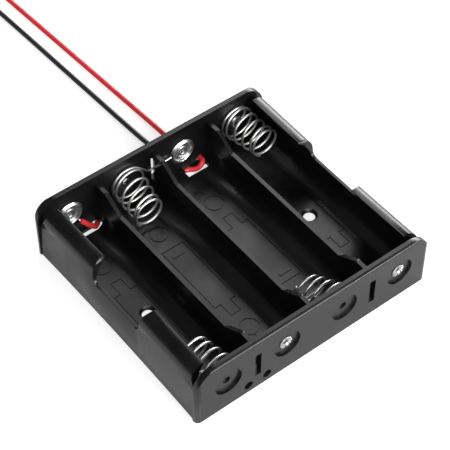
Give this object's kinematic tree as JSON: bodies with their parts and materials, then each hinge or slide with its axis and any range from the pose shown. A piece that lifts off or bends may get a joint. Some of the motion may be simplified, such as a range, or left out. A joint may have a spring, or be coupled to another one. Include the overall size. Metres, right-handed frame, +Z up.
{
  "type": "cylindrical cell holder",
  "caption": "Open moulded tray that holds cylindrical cells side by side in series, with sprung and dished end contacts and two flying leads.",
  "frame": {"origin": "middle of the tray's footprint on the surface it stands on", "axes": "+Z up out of the open tray, +X across the bays, +Y along the cells towards the end plate with the leads"},
  "size_m": [0.08, 0.2299, 0.0193],
  "materials": {
    "tray": "moulded black plastic, satin to glossy",
    "spring": "nickel-plated spring wire",
    "contact": "nickel-plated pressed steel",
    "eyelet": "plated rolled eyelet",
    "red_insulation": "red PVC insulation",
    "black_insulation": "black PVC insulation",
    "tinned_core": "tinned copper strands and solder"
  },
  "bodies": {
    "holder": {"tray": "tray", "positive_contact_1": "contact", "positive_contact_2": "contact", "positive_contact_3": "contact", "positive_contact_4": "contact", "eyelet_1": "eyelet", "eyelet_2": "eyelet", "eyelet_3": "eyelet", "eyelet_4": "eyelet", "eyelet_negative": "eyelet", "red_inner_run": "red_insulation", "red_lead": "red_insulation", "black_lead": "black_insulation", "red_lead_tip": "tinned_core", "black_lead_tip": "tinned_core", "red_inner_core": "tinned_core", "black_solder": "tinned_core"},
    "spring_1": {"contact_spring_1": "spring"},
    "spring_2": {"contact_spring_2": "spring"},
    "spring_3": {"contact_spring_3": "spring"},
    "spring_4": {"contact_spring_4": "spring"}
  },
  "joints": [
    {"name": "spring_1_press", "type": "slide", "parent": "holder", "child": "spring_1", "axis": [0, -1, 0], "range_m": [0, 0.0073], "stiffness_N_per_m": 350, "deforming": ["contact_spring_1"]},
    {"name": "spring_2_press", "type": "slide", "parent": "holder", "child": "spring_2", "axis": [0, 1, 0], "range_m": [0, 0.0073], "stiffness_N_per_m": 350, "deforming": ["contact_spring_2"]},
    {"name": "spring_3_press", "type": "slide", "parent": "holder", "child": "spring_3", "axis": [0, -1, 0], "range_m": [0, 0.0073], "stiffness_N_per_m": 350, "deforming": ["contact_spring_3"]},
    {"name": "spring_4_press", "type": "slide", "parent": "holder", "child": "spring_4", "axis": [0, 1, 0], "range_m": [0, 0.0073], "stiffness_N_per_m": 350, "deforming": ["contact_spring_4"]}
  ]
}
